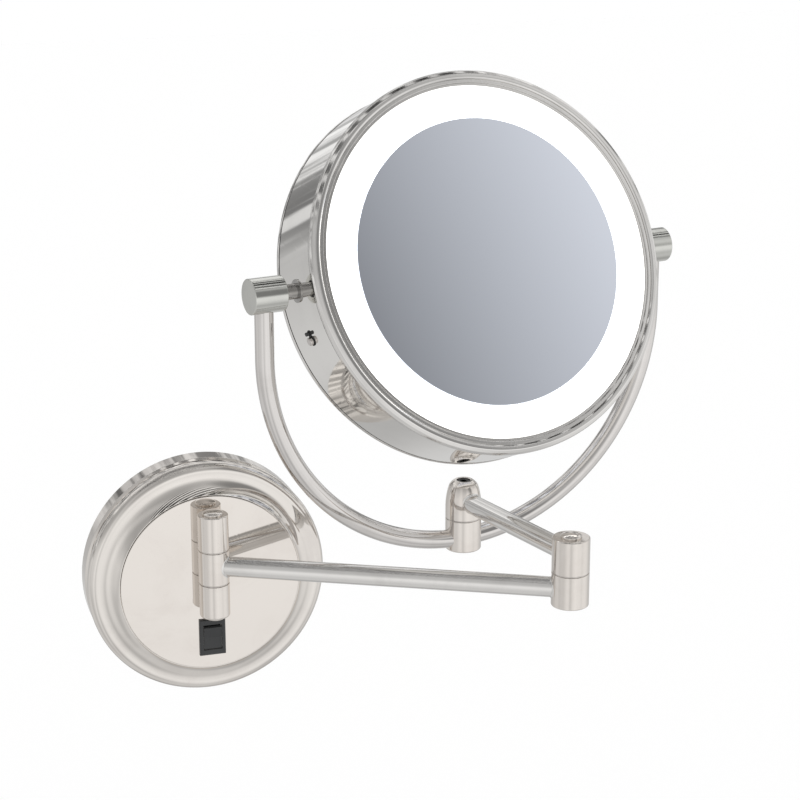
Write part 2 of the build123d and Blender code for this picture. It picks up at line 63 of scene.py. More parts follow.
def node_span(node, axis):
    """Lowest and highest value of a CAD node along an axis, in millimetres."""
    low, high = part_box(node)
    return low[axis] / MM, high[axis] / MM


wall_post = joint_place("arm_1_swing")
elbow = joint_place("arm_2_swing")
yoke_post = joint_place("yoke_swivel")
tilt_centre = joint_place("head_tilt")
tilt_axis = Vector(joints["head_tilt"]["axis"])

head_offset = 3.0                 # the head sits this far along the tilt axis from the yoke's middle
head_tilt = radians(23.2)

yoke_frame = Matrix.Translation(tilt_centre) @ Matrix.Rotation(atan2(tilt_axis.y, tilt_axis.x), 4, "Z")
head_frame = (yoke_frame @ Matrix.Translation((head_offset * MM, 0, 0))
              @ Matrix.Rotation(-head_tilt, 4, "X"))

# Turned pieces are drawn about +Z. These turn that axis to where a piece needs it.
TO_FRONT = Matrix.Rotation(pi / 2, 4, "X")       # to -Y, out of the wall
TO_REAR = Matrix.Rotation(-pi / 2, 4, "X")
TO_RIGHT = Matrix.Rotation(pi / 2, 4, "Y")
TO_LEFT = Matrix.Rotation(-pi / 2, 4, "Y")


def upright(place):
    """Frame of an upright post: +Z through a place in plan, with heights from the frame's origin."""
    return Matrix.Translation((place.x, place.y, 0))


# ---- shapes -------------------------------------------------------------------------------
def mesh_object(name, points, faces, uv=None, place=Matrix.Identity(4), sharp=32):
    """Object from points in millimetres and quads, put in place, with doubles merged at its poles.

    Its place is in its mesh. Edges that turn by more than the sharp angle stay crisp, and the
    shading of flat faces is kept flat by weighting normals by area.
    """
    mesh = bpy.data.meshes.new(name)
    turn = np.array(place.to_3x3())
    world = (np.asarray(points, float) * MM) @ turn.T + np.array(place.translation)
    mesh.from_pydata(world.tolist(), [], np.asarray(faces).tolist())
    if uv is not None:
        layer = mesh.uv_layers.new(name="UVMap")
        corners = np.zeros(len(mesh.loops), dtype=np.int32)
        mesh.loops.foreach_get("vertex_index", corners)
        layer.data.foreach_set("uv", np.asarray(uv, dtype=np.float32)[corners].ravel())
    work = bmesh.new()
    work.from_mesh(mesh)
    bmesh.ops.remove_doubles(work, verts=work.verts, dist=2e-7)
    bmesh.ops.recalc_face_normals(work, faces=work.faces)
    work.to_mesh(mesh)
    work.free()
    mesh.shade_smooth()
    mesh.set_sharp_from_angle(angle=radians(sharp))
    piece = bpy.data.objects.new(name, mesh)
    bpy.context.scene.collection.objects.link(piece)
    weights = piece.modifiers.new("flat faces stay flat", "WEIGHTED_NORMAL")
    weights.keep_sharp = True
    weights.weight = 80
    return piece


def grid_faces(rows, columns, wrap_rows, wrap_columns):
    """Quads of a grid of points, row by row, joined round where a direction wraps."""
    i = np.arange(rows if wrap_rows else rows - 1)[:, None]
    j = np.arange(columns if wrap_columns else columns - 1)[None, :]
    near, far = i * columns, ((i + 1) % rows) * columns
    left, right = j, (j + 1) % columns
    return np.stack([near + left, near + right, far + right, far + left], -1).reshape(-1, 4)


def rounded(corners, closed=True, steps=6):
    """Outline through corners (across, along, radius), each corner eased by an arc of its radius.

    The arc touches both sides at radius / tan(half the corner), and its centre is at
    radius / sin(half the corner) along the line that halves the corner.
    """
    points = []
    count = len(corners)
    for i, corner in enumerate(corners):
        here = np.array(corner[:2], float)
        radius = corner[2] if len(corner) > 2 else 0
        if radius == 0 or (not closed and i in (0, count - 1)):
            points.append(here)
            continue
        before = np.array(corners[i - 1][:2], float) - here
        after = np.array(corners[(i + 1) % count][:2], float) - here
        before /= np.linalg.norm(before)
        after /= np.linalg.norm(after)
        half = np.arccos(np.clip(before @ after, -1, 1)) / 2
        middle = before + after
        centre = here + middle / np.linalg.norm(middle) * radius / np.sin(half)
        first = here + before * radius / np.tan(half) - centre
        last = here + after * radius / np.tan(half) - centre
        start = np.arctan2(first[1], first[0])
        turn = (np.arctan2(last[1], last[0]) - start + pi) % (2 * pi) - pi
        angles = start + turn * np.linspace(0, 1, steps + 1)
        points.extend(centre + radius * np.stack([np.cos(angles), np.sin(angles)], -1))
    return np.array(points)


def arc(centre, radius, first, last, steps=16):
    """Points on a circle from one angle to another, in degrees from the across direction."""
    angles = np.radians(np.linspace(first, last, steps + 1))
    return np.stack([centre[0] + radius * np.cos(angles), centre[1] + radius * np.sin(angles)], -1)


def quadratic(k, first, pull, last):
    """Quadratic curve (1-k)^2 first + 2k(1-k) pull + k^2 last, between two ends and towards a third."""
    return (1 - k) ** 2 * first + 2 * k * (1 - k) * pull + k ** 2 * last


def six_sided(angle):
    """Radius of a hexagon of unit corner radius at an angle: cos 30 / cos(angle folded to +-30)."""
    return cos(pi / 6) / np.cos((angle + pi / 6) % (pi / 3) - pi / 6)


def turned(name, outline, place, closed=True, around=128, hexagonal=None, sharp=32):
    """Surface of revolution about the place's Z axis.

    Point (i, j) is outline point j, (across, along), swung to angle 2 pi i / around. Where
    hexagonal[j] is 1 the swing follows a hexagon in place of a circle. The UV map holds the
    length round the piece and the length along the outline, in metres.
    """
    outline = np.asarray(outline, float)
    angle = 2 * pi * np.arange(around) / around
    reach = np.ones((around, len(outline)))
    if hexagonal is not None:
        weight = np.asarray(hexagonal, float)
        reach = 1 - weight + weight * six_sided(angle)[:, None]
    across = outline[:, 0] * reach
    points = np.stack([across * np.cos(angle)[:, None], across * np.sin(angle)[:, None],
                       np.broadcast_to(outline[:, 1], across.shape)], -1)
    run = np.concatenate([[0], np.cumsum(np.linalg.norm(np.diff(outline, axis=0), axis=1))]) * MM
    widest = outline[:, 0].max() * MM
    uv = np.stack(np.broadcast_arrays(angle[:, None] * widest, run[None, :]), -1)
    faces = grid_faces(around, len(outline), True, closed)
    return mesh_object(name, points.reshape(-1, 3), faces, uv.reshape(-1, 2), place, sharp)


def shaft(name, radius, low, high, place, ease=0.3, around=96):
    """Plain round bar along the place's Z axis, its two ends eased."""
    outline = rounded([(0, low), (radius, low, ease), (radius, high, ease), (0, high)], closed=False)
    return turned(name, outline, place, closed=False, around=around)


def bent_bar(name, path, normal, radius, place, around=64):
    """Round bar along a flat path.

    Ring i is centred on path point i, in the plane of the path's own turn and its normal:
    radius * (cos * sideways + sin * normal), where sideways is the tangent crossed with the normal.
    """
    path = np.asarray(path, float)
    tangent = np.gradient(path, axis=0)
    tangent /= np.linalg.norm(tangent, axis=1)[:, None]
    sideways = np.cross(tangent, normal)
    angle = 2 * pi * np.arange(around) / around
    ring = (np.cos(angle)[None, :, None] * sideways[:, None, :]
            + np.sin(angle)[None, :, None] * np.asarray(normal, float)[None, None, :])
    points = path[:, None, :] + radius * ring
    run = np.concatenate([[0], np.cumsum(np.linalg.norm(np.diff(path, axis=0), axis=1))]) * MM
    uv = np.stack(np.broadcast_arrays(run[:, None], angle[None, :] * radius * MM), -1)
    faces = grid_faces(len(path), around, False, True)
    return mesh_object(name, points.reshape(-1, 3), faces, uv.reshape(-1, 2), place)


def weld(name, tube_radius, post_radius, size, place, around=96, steps=8):
    """Small fillet where a tube along +X runs out of an upright post at the place's origin.

    At angle s round the tube, the post's wall is at x = sqrt(post^2 - (tube cos s)^2). The
    fillet is a quadratic curve from the tube, one size further out, by way of that corner, to
    the post's wall at tube radius plus size. Both its edges are sunk a little, to leave no gap.
    """
    tube_sink, wall_sink = 0.01, 0.02
    s = (2 * pi * np.arange(around) / around)[:, None]
    k = np.linspace(0, 1, steps + 1)[None, :]

    def wall(radius):
        """Distance out to the post's wall at a radius round the tube."""
        return np.sqrt(post_radius ** 2 - (radius * np.cos(s)) ** 2)

    x = quadratic(k, wall(tube_radius) + size, wall(tube_radius), wall(tube_radius + size) - wall_sink)
    radius = quadratic(k, tube_radius - tube_sink, tube_radius, tube_radius + size)
    points = np.stack([x, radius * np.cos(s), radius * np.sin(s)], -1)
    return mesh_object(name, points.reshape(-1, 3), grid_faces(around, steps + 1, True, False),
                       None, place, sharp=60)


# ---- shader groups ------------------------------------------------------------------------
def new_group(name, inputs, outputs):
    """Empty shader group with float sockets. Returns it with its two end nodes."""
    group = bpy.data.node_groups.new(name, "ShaderNodeTree")
    for label, value in inputs:
        socket = group.interface.new_socket(label, in_out="INPUT", socket_type="NodeSocketFloat")
        socket.default_value = value
    for label in outputs:
        group.interface.new_socket(label, in_out="OUTPUT", socket_type="NodeSocketFloat")
    return group, group.nodes.new("NodeGroupInput"), group.nodes.new("NodeGroupOutput")


def node(tree, kind, **settings):
    """New node with its properties set."""
    made = tree.nodes.new(kind)
    for key, value in settings.items():
        setattr(made, key, value)
    return made


def polish_group():
    """Wear of a polished plated surface: soft smudges and fine scratches.

    A smudge is large noise through a smooth step, and comes out as Tarnish. A scratch is the top
    of a noise drawn out mostly along one direction, and comes out as Height. Roughness is the
    base, plus the smudge times its own amount, plus a little more in a scratch.
    """
    group, start, end = new_group(
        "polish wear",
        [("Smudge scale", 30.0), ("Base roughness", 0.05), ("Smudge roughness", 0.05),
         ("Scratch scale", 900.0)],
        ["Roughness", "Height", "Tarnish"])
    link = group.links.new
    where = node(group, "ShaderNodeTexCoord")
    smudge = node(group, "ShaderNodeTexNoise")
    smudge.inputs["Detail"].default_value = 5
    smudge.inputs["Roughness"].default_value = 0.62
    smudge.inputs["Distortion"].default_value = 0.4
    link(where.outputs["Object"], smudge.inputs["Vector"])
    link(start.outputs["Smudge scale"], smudge.inputs["Scale"])
    soft = node(group, "ShaderNodeMapRange", interpolation_type="SMOOTHSTEP")
    soft.inputs["From Min"].default_value = 0.42
    soft.inputs["From Max"].default_value = 0.72
    link(smudge.outputs["Fac"], soft.inputs["Value"])
    stretch = node(group, "ShaderNodeMapping")
    stretch.inputs["Rotation"].default_value = (0.5, 0.3, 0.9)
    stretch.inputs["Scale"].default_value = (1.0, 0.03, 0.2)
    link(where.outputs["Object"], stretch.inputs["Vector"])
    fine = node(group, "ShaderNodeTexNoise")
    fine.inputs["Detail"].default_value = 2
    link(stretch.outputs["Vector"], fine.inputs["Vector"])
    link(start.outputs["Scratch scale"], fine.inputs["Scale"])
    ridge = node(group, "ShaderNodeMapRange")
    ridge.inputs["From Min"].default_value = 0.62
    ridge.inputs["From Max"].default_value = 0.70
    link(fine.outputs["Fac"], ridge.inputs["Value"])
    spread = node(group, "ShaderNodeMath", operation="MULTIPLY_ADD")
    link(soft.outputs["Result"], spread.inputs[0])
    link(start.outputs["Smudge roughness"], spread.inputs[1])
    link(start.outputs["Base roughness"], spread.inputs[2])
    scratch = node(group, "ShaderNodeMath", operation="MULTIPLY_ADD")
    scratch.inputs[1].default_value = 0.03
    link(ridge.outputs["Result"], scratch.inputs[0])
    link(spread.outputs[0], scratch.inputs[2])
    link(scratch.outputs[0], end.inputs["Roughness"])
    link(ridge.outputs["Result"], end.inputs["Height"])
    link(soft.outputs["Result"], end.inputs["Tarnish"])
    return group


POLISH = polish_group()


def surface(name):
    """New material with its Principled shader. Returns the material, its tree and the shader."""
    material = bpy.data.materials.new(name)
    material.use_nodes = True
    tree = material.node_tree
    return material, tree, tree.nodes["Principled BSDF"]


def polished(name, colour, dull, roughness=0.045, smudge=0.03, smudge_scale=30.0, bump=0.02):
    """Polished plated metal: a bright and a slightly duller tone mixed by its smudges."""
    material, tree, shader = surface(name)
    link = tree.links.new
    wear = node(tree, "ShaderNodeGroup", node_tree=POLISH)
    wear.inputs["Smudge scale"].default_value = smudge_scale
    wear.inputs["Base roughness"].default_value = roughness
    wear.inputs["Smudge roughness"].default_value = smudge
    tone = node(tree, "ShaderNodeMix", data_type="RGBA")
    tone.inputs["A"].default_value = (*colour, 1)
    tone.inputs["B"].default_value = (*dull, 1)
    link(wear.outputs["Tarnish"], tone.inputs["Factor"])
    link(tone.outputs["Result"], shader.inputs["Base Color"])
    link(wear.outputs["Roughness"], shader.inputs["Roughness"])
    shader.inputs["Metallic"].default_value = 1.0
    relief = node(tree, "ShaderNodeBump")
    relief.inputs["Strength"].default_value = bump
    relief.inputs["Distance"].default_value = 0.0002
    link(wear.outputs["Height"], relief.inputs["Height"])
    link(relief.outputs["Normal"], shader.inputs["Normal"])
    return material


def moulded(name, colour, roughness, grain=0.15, grain_scale=2600.0):
    """Moulded plastic or rubber: fine spark texture in bump and a little in roughness."""
    material, tree, shader = surface(name)
    link = tree.links.new
    where = node(tree, "ShaderNodeTexCoord")
    spark = node(tree, "ShaderNodeTexNoise")
    spark.inputs["Scale"].default_value = grain_scale
    spark.inputs["Detail"].default_value = 3
    link(where.outputs["Object"], spark.inputs["Vector"])
    spread = node(tree, "ShaderNodeMapRange")
    spread.inputs["To Min"].default_value = roughness - 0.05
    spread.inputs["To Max"].default_value = roughness + 0.08
    link(spark.outputs["Fac"], spread.inputs["Value"])
    link(spread.outputs["Result"], shader.inputs["Roughness"])
    handled = node(tree, "ShaderNodeTexNoise")
    handled.inputs["Scale"].default_value = 90
    link(where.outputs["Object"], handled.inputs["Vector"])
    tone = node(tree, "ShaderNodeMix", data_type="RGBA")
    tone.inputs["A"].default_value = (*colour, 1)
    tone.inputs["B"].default_value = (*(min(1, c * 1.25 + 0.01) for c in colour), 1)
    link(handled.outputs["Fac"], tone.inputs["Factor"])
    link(tone.outputs["Result"], shader.inputs["Base Color"])
    relief = node(tree, "ShaderNodeBump")
    relief.inputs["Strength"].default_value = grain
    relief.inputs["Distance"].default_value = 0.0001
    link(spark.outputs["Fac"], relief.inputs["Height"])
    link(relief.outputs["Normal"], shader.inputs["Normal"])
    return material


# ---- materials ----------------------------------------------------------------------------
# After a metal's bright and dull tones come its roughness, the roughness its smudges add, their
# scale, and the relief of its scratches. After a plastic's colour come its roughness, the relief of
# its grain, and the grain's scale.
NICKEL = (0.79, 0.745, 0.70)
NICKEL_DULL = (0.745, 0.695, 0.65)
PALE_NICKEL = (0.765, 0.75, 0.73)
PALE_NICKEL_DULL = (0.72, 0.705, 0.685)
nickel_cover = polished("nickel cover", (0.765, 0.73, 0.69), (0.71, 0.67, 0.635), 0.045, 0.03)
nickel_disc = polished("nickel face disc", NICKEL, NICKEL_DULL, 0.035, 0.02)
nickel_post = polished("nickel posts", NICKEL, NICKEL_DULL, 0.06, 0.03, 60.0)
nickel_tube = polished("nickel tubes", PALE_NICKEL, PALE_NICKEL_DULL, 0.06, 0.03, 60.0)
nickel_yoke = polished("nickel yoke", (0.72, 0.695, 0.675), (0.675, 0.65, 0.63), 0.055, 0.03, 40.0)
nickel_barrel = polished("nickel barrels", (0.66, 0.66, 0.625), (0.61, 0.61, 0.58), 0.06, 0.03, 60.0)
nickel_drum = polished("nickel drum", (0.84, 0.825, 0.80), (0.80, 0.785, 0.76), 0.04, 0.02)
nickel_bezel = polished("nickel bezel", PALE_NICKEL, PALE_NICKEL_DULL, 0.07, 0.03)
nickel_pin = polished("nickel pins", (0.46, 0.45, 0.435), (0.36, 0.35, 0.34), 0.10, 0.05, 90.0)
satin_washer = polished("satin washers", (0.66, 0.63, 0.60), (0.56, 0.535, 0.51), 0.2, 0.08, 90.0)
nickel_button = polished("nickel button", (0.70, 0.66, 0.63), (0.6, 0.57, 0.55), 0.12, 0.05, 200.0)
zinc_plate = polished("zinc plate", (0.60, 0.60, 0.585), (0.48, 0.48, 0.47), 0.28, 0.15, 45.0, 0.1)
black_oxide = polished("black oxide screws", (0.035, 0.034, 0.034), (0.02, 0.02, 0.02), 0.32, 0.15, 300.0)
black_plastic = moulded("black switch plastic", (0.018, 0.019, 0.020), 0.32)
# Black rubber for the friction rings; the same black on the collars round the buttons is painted shade.
black_rubber = moulded("black rubber and painted shade", (0.008, 0.008, 0.008), 0.55, 0.25)
black_button = moulded("black button plastic", (0.03, 0.03, 0.03), 0.35)
white_tray = moulded("white powder coat", (0.84, 0.84, 0.83), 0.45, 0.3, 1400.0)
white_board = moulded("white solder mask", (0.80, 0.82, 0.79), 0.38)
grey_plastic = moulded("pale driver plastic", (0.80, 0.80, 0.77), 0.42)
brass = polished("brass terminals", (0.78, 0.60, 0.28), (0.62, 0.47, 0.22), 0.22, 0.12, 200.0)
phosphor = moulded("lamp phosphor", (0.88, 0.68, 0.16), 0.3)


def silvered_glass():
    """Silvered glass: a near-perfect mirror with a faint cool cast and a trace of haze."""
    material, tree, shader = surface("silvered glass")
    link = tree.links.new
    where = node(tree, "ShaderNodeTexCoord")
    haze = node(tree, "ShaderNodeTexNoise")
    haze.inputs["Scale"].default_value = 18
    haze.inputs["Detail"].default_value = 4
    link(where.outputs["Object"], haze.inputs["Vector"])
    spread = node(tree, "ShaderNodeMapRange", interpolation_type="SMOOTHSTEP")
    spread.inputs["From Min"].default_value = 0.5
    spread.inputs["From Max"].default_value = 0.8
    spread.inputs["To Min"].default_value = 0.004
    spread.inputs["To Max"].default_value = 0.02
    link(haze.outputs["Fac"], spread.inputs["Value"])
    link(spread.outputs["Result"], shader.inputs["Roughness"])
    shader.inputs["Base Color"].default_value = (0.83, 0.87, 0.96, 1)
    shader.inputs["Metallic"].default_value = 1.0
    return material


def diffuser(name, glow):
    """Opal acrylic ring with a fine grain. The lit one glows evenly."""
    material, tree, shader = surface(name)
    link = tree.links.new
    where = node(tree, "ShaderNodeTexCoord")
    grain = node(tree, "ShaderNodeTexNoise")
    grain.inputs["Scale"].default_value = 1800
    link(where.outputs["Object"], grain.inputs["Vector"])
    relief = node(tree, "ShaderNodeBump")
    relief.inputs["Strength"].default_value = 0.08
    relief.inputs["Distance"].default_value = 0.0001
    link(grain.outputs["Fac"], relief.inputs["Height"])
    link(relief.outputs["Normal"], shader.inputs["Normal"])
    tone = node(tree, "ShaderNodeMix", data_type="RGBA")
    tone.inputs["A"].default_value = (0.93, 0.935, 0.93, 1)
    tone.inputs["B"].default_value = (0.90, 0.905, 0.90, 1)
    link(grain.outputs["Fac"], tone.inputs["Factor"])
    link(tone.outputs["Result"], shader.inputs["Base Color"])
    shader.inputs["Roughness"].default_value = 0.38
    shader.inputs["Emission Color"].default_value = (1.0, 1.0, 0.985, 1)
    shader.inputs["Emission Strength"].default_value = glow
    return material


mirror_glass = silvered_glass()
lit_opal = diffuser("lit opal acrylic", 1.6)
plain_opal = diffuser("opal acrylic", 0.0)


def dress(piece, material, body, slot, *nodes):
    """Finish a piece: its material, the body it rides on and the CAD nodes it stands for. The slot is not
    used.
    """
    piece.data.materials.clear()
    piece.data.materials.append(material)
    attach(piece, body)
    if nodes:
        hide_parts(*nodes)
    return piece


def paint(material, *nodes):
    """Give CAD nodes that stay as they are a finished material."""
    for name in nodes:
        for slot in frame["nodes"][name].material_slots:
            slot.material = material


# ---- wall base ----------------------------------------------------------------------------
def base_cover():
    """Turned cover: outer band, step, rolled bead, and a wide hollow cove up to the face disc's lip.

    The cove's centre lies one cove radius from the lip and one cove plus one bead radius from the
    bead's centre, so that the two arcs run into each other without a corner.
    """
    lip, bead = np.array([45.88, 25.9]), np.array([56.0, 16.8])
    bead_radius, cove_radius, wall = 4.28, 11.0, 1.4
    bead_start, inner_bead_end, cove_short = -52, -45, 5     # degrees
    apart = bead - lip
    reach = np.linalg.norm(apart)
    foot = (reach ** 2 + cove_radius ** 2 - (cove_radius + bead_radius) ** 2) / (2 * reach)
    rise = np.sqrt(cove_radius ** 2 - foot ** 2)
    cove = lip + apart / reach * foot + np.array([-apart[1], apart[0]]) / reach * rise
    join = np.degrees(np.arctan2(*(cove - bead)[::-1]))
    lip_angle = np.degrees(np.arctan2(*(lip - cove)[::-1])) % 360
    outline = np.concatenate([
        rounded([(58.6, 0), (60, 0, 0.3), (60, 9.2, 0.35), (58.9, 10.0, 0.2), (58.5, 12.6)],
                closed=False, steps=5),
        arc(bead, bead_radius, bead_start, join, steps=48),
        arc(cove, cove_radius, join + 180, lip_angle, steps=32)[1:],
        rounded([lip, (45.5, 25.9, 0.15), (45.5, 24.6), (39, 24.6), (39, 23.2)], closed=False)[1:],
        arc(cove, cove_radius + wall, lip_angle + cove_short, join + 180, steps=24),
        arc(bead, bead_radius - wall, join, inner_bead_end, steps=24),
        [(57.2, 9.2), (58.6, 7.8)],
    ])
    return turned("base_cover_shell", outline, TO_FRONT, around=360, sharp=28)


dress(base_cover(), nickel_cover, "wall_base", "cover_metal", "base_cover")

disc_radius, disc_back, disc_front = 45.38, 24.62, 26.6
disc_outline = rounded([(0, disc_back), (disc_radius, disc_back, 0.1), (disc_radius, disc_front, 0.35),
                        (0, disc_front)], closed=False, steps=5)
dress(turned("face_plate", disc_outline, TO_FRONT, closed=False, around=360),
      nickel_disc, "wall_base", "disc_metal", "face_disc")

post_radius = 7.6


def knuckle(name, place, radius, low, high, low_ease=0.35, high_ease=0.35):
    """Plain knuckle of a post: a short cylinder with eased edges."""
    outline = rounded([(0, low), (radius, low, low_ease), (radius, high, high_ease), (0, high)], closed=False)
    return turned(name, outline, upright(place), closed=False, around=160)


def stem(name, height):
    """Stem from the wall post to the face disc, and thinner from there back into the base."""
    reach = -wall_post.y / MM
    thick, thin, inner_end = 5.0, 3.4, 17.2
    outline = [(0, inner_end), (thin, inner_end), (thin, disc_front), (thick, disc_front),
               (thick, reach), (0, reach)]
    place = Matrix.Translation((0, 0, height * MM)) @ TO_FRONT
    return turned(name, outline, place, closed=False, around=96)


top_low, top_high = node_span("wall_post_top", 2)
foot_low, foot_high = node_span("wall_post_foot", 2)
dress(knuckle("wall_post_upper_knuckle", wall_post, post_radius, top_low, top_high, 0.3, 0.6),
      nickel_post, "wall_base", "post_metal", "wall_post_top")
dress(knuckle("wall_post_lower_knuckle", wall_post, post_radius, foot_low, foot_high, 1.4, 0.3),
      nickel_post, "wall_base", "post_metal", "wall_post_foot")
dress(stem("upper_stem", (top_low + top_high) / 2), nickel_post, "wall_base", "post_metal")
dress(stem("lower_stem", (foot_low + foot_high) / 2), nickel_post, "wall_base", "post_metal")


def washer_ring(name, place, radius, low, high):
    """Thin bearing washer between two knuckles."""
    bore, ease = 2.0, 0.15
    outline = rounded([(bore, low), (radius, low, ease), (radius, high, ease), (bore, high)], steps=4)
    return turned(name, outline, upright(place), around=128)


arm_1_low, arm_1_high = node_span("arm_1_wall_knuckle", 2)
washer = 0.6                      # thickness of a bearing washer
wall_washer_inset, arm_washer_inset = 0.35, 0.3   # how far washers stay inside their posts
for name, low in (("wall_washer_upper", arm_1_high), ("wall_washer_lower", arm_1_low - washer)):
    dress(washer_ring(name, wall_post, post_radius - wall_washer_inset, low, low + washer),
          satin_washer, "wall_base", "washer_metal", "wall_washers")


def cap(name, place, face, up):
    """Cap over a bolt's end: a short wall, then a dome (radius cos q, wall + crown sin q)."""
    radius, wall, crown = 5.2, 0.5, 1.5
    q = np.linspace(0, pi / 2, 20)
    dome = np.stack([radius * np.cos(q), wall + crown * np.sin(q)], -1)
    dome[-1, 0] = 0
    turn = Matrix.Identity(4) if up else Matrix.Rotation(pi, 4, "X")
    return turned(name, np.concatenate([[(0, 0), (radius, 0)], dome]),
                  Matrix.Translation((place.x, place.y, face * MM)) @ turn, closed=False, around=96)


dress(cap("wall_cap_upper", wall_post, top_high, True),
      nickel_post, "wall_base", "cap_metal", "wall_bolt_caps")
dress(cap("wall_cap_lower", wall_post, foot_low, False), nickel_post, "wall_base", "cap_metal")
paint(zinc_plate, "wall_bracket", "post_nuts", "wall_bolt", "rocker_pivot", "elbow_bolt", "tilt_pin_nuts")
paint(black_oxide, "cover_screws")
paint(grey_plastic, "led_driver", "terminal_block")
paint(brass, "rocker_terminals")

# ---- rocker switch ------------------------------------------------------------------------
paint(black_plastic, "rocker_frame", "rocker_paddle")

# ---- arms ---------------------------------------------------------------------------------
tube_radius, fillet = 5.0, 0.9
tube_start = 4.3                  # a tube begins this far from its post's axis
arm_2_low, arm_2_high = node_span("arm_2_elbow_knuckle", 2)
elbow_radius, yoke_post_radius = 9.2, 9.2
dress(knuckle("arm_1_post_knuckle", wall_post, post_radius, arm_1_low, arm_1_high),
      nickel_post, "arm_1", "post_metal", "arm_1_wall_knuckle")
dress(knuckle("elbow_lower_knuckle", elbow, elbow_radius, arm_1_low, arm_1_high, 0.7, 0.25),
      nickel_post, "arm_1", "post_metal", "arm_1_elbow_knuckle")
dress(knuckle("elbow_upper_knuckle", elbow, elbow_radius, arm_2_low, arm_2_high, 0.25, 0.6),
      nickel_post, "arm_2", "post_metal", "arm_2_elbow_knuckle")
dress(washer_ring("elbow_bearing", elbow, elbow_radius - arm_washer_inset, arm_1_high, arm_2_low),
      satin_washer, "arm_1", "washer_metal", "elbow_washer")
dress(cap("elbow_cap_upper", elbow, arm_2_high, True), nickel_post, "arm_1", "cap_metal", "elbow_caps")
dress(cap("elbow_cap_lower", elbow, arm_1_low, False), nickel_post, "arm_1", "cap_metal")


def arm(name, first, last, level, body, node_name, first_radius, last_radius):
    """Arm tube between two posts, with the fillets where it meets them."""
    span = Vector((last.x - first.x, last.y - first.y, 0))
    heading = Matrix.Rotation(atan2(span.y, span.x), 4, "Z")
    start = Matrix.Translation((first.x, first.y, level * MM)) @ heading
    finish = Matrix.Translation((last.x, last.y, level * MM)) @ heading @ Matrix.Rotation(pi, 4, "Z")
    length = span.length / MM
    tube = shaft(name, tube_radius, tube_start, length - tube_start, start @ TO_RIGHT, ease=0.2, around=96)
    dress(tube, nickel_tube, body, "arm_metal", node_name)
    for end, place, radius in (("start", start, first_radius), ("end", finish, last_radius)):
        dress(weld(f"{name}_{end}_fillet", tube_radius, radius, fillet, place),
              nickel_tube, body, "arm_metal")


dome_at_tube = 8.75               # radius of the domed knuckle where the upper arm meets it
arm("lower_arm", wall_post, elbow, (arm_1_low + arm_1_high) / 2,
    "arm_1", "arm_1_tube", post_radius, elbow_radius)
arm("upper_arm", elbow, yoke_post, (arm_2_low + arm_2_high) / 2,
    "arm_2", "arm_2_tube", elbow_radius, dome_at_tube)

dome_top = node_span("arm_2_yoke_knuckle", 2)[1]


def domed_knuckle():
    """Knuckle over the yoke post: straight foot, side drawn in, rounded shoulder, screw well."""
    waist, shoulder = (yoke_post_radius, arm_2_low + 6.0), (7.5, dome_top - 3.0)
    rim, well, well_floor = (4.8, dome_top), 3.5, dome_top - 3.9
    k = np.linspace(0, 1, 24)[:, None]
    side = quadratic(k, waist, (9.0, dome_top - 7.4), shoulder)
    crown = quadratic(k, shoulder, (6.9, dome_top - 1.3), rim)
    outline = np.concatenate([
        rounded([(0, arm_2_low), (yoke_post_radius, arm_2_low, 0.25), waist], closed=False),
        side[1:], crown[1:],
        rounded([rim, (well, dome_top, 0.2), (well, well_floor), (0, well_floor)], closed=False)[1:]])
    return turned("yoke_post_dome", outline, upright(yoke_post), closed=False, around=160)


dress(domed_knuckle(), nickel_post, "arm_2", "post_metal", "arm_2_yoke_knuckle")

# ---- yoke ---------------------------------------------------------------------------------
yoke_radius, yoke_leg, bar_radius = 109.4, 31.5, 4.64
knuckle_low, knuckle_high = node_span("yoke_knuckle", 2)


def socket_screw():
    """Socket-head screw: shank, plain head with an eased rim, and a six-sided socket."""
    top, low = dome_top - 0.5, dome_top - 4.0
    shank, head, mouth, socket = 2.2, 3.3, 1.9, 1.73
    shank_end, socket_floor = low - 8, top - 2.2
    outline = np.concatenate([
        rounded([(0, shank_end), (shank, shank_end), (shank, low), (head, low), (head, top, 0.35),
                 (mouth, top, 0.1), (socket, top - 0.2)], closed=False),
        [(socket, socket_floor), (0, socket_floor)]])
    flat = np.zeros(len(outline))
    flat[-3:-1] = 1               # the socket's wall
    return turned("yoke_post_screw", outline, upright(yoke_post), closed=False, around=96, hexagonal=flat)


dress(socket_screw(), black_oxide, "yoke", "dark_screws", "yoke_screw")
dress(washer_ring("yoke_bearing", yoke_post, yoke_post_radius - arm_washer_inset, arm_1_high, arm_2_low),
      satin_washer, "yoke", "washer_metal", "yoke_washer")
dress(knuckle("yoke_post_knuckle", yoke_post, yoke_post_radius, knuckle_low, knuckle_high, 0.9, 0.3),
      nickel_post, "yoke", "post_metal", "yoke_knuckle")


def yoke_path():
    """Down the left leg, round the half circle, and up the right leg, in the yoke's own frame."""
    leg_top = -4.7                # inside the barrel, short of its bore
    leg = np.linspace(leg_top, -yoke_leg, 12)[:-1]
    sweep = np.radians(np.linspace(180, 360, 181))
    left = np.stack([np.full_like(leg, -yoke_radius), 0 * leg, leg], -1)
    bend = np.stack([yoke_radius * np.cos(sweep), 0 * sweep, yoke_radius * np.sin(sweep) - yoke_leg], -1)
    right = left[::-1] * [-1, 1, 1]
    return np.concatenate([left, bend, right])


dress(bent_bar("yoke_bow", yoke_path(), (0, 1, 0), bar_radius, yoke_frame),
      nickel_yoke, "yoke", "yoke_metal", "yoke_bar")

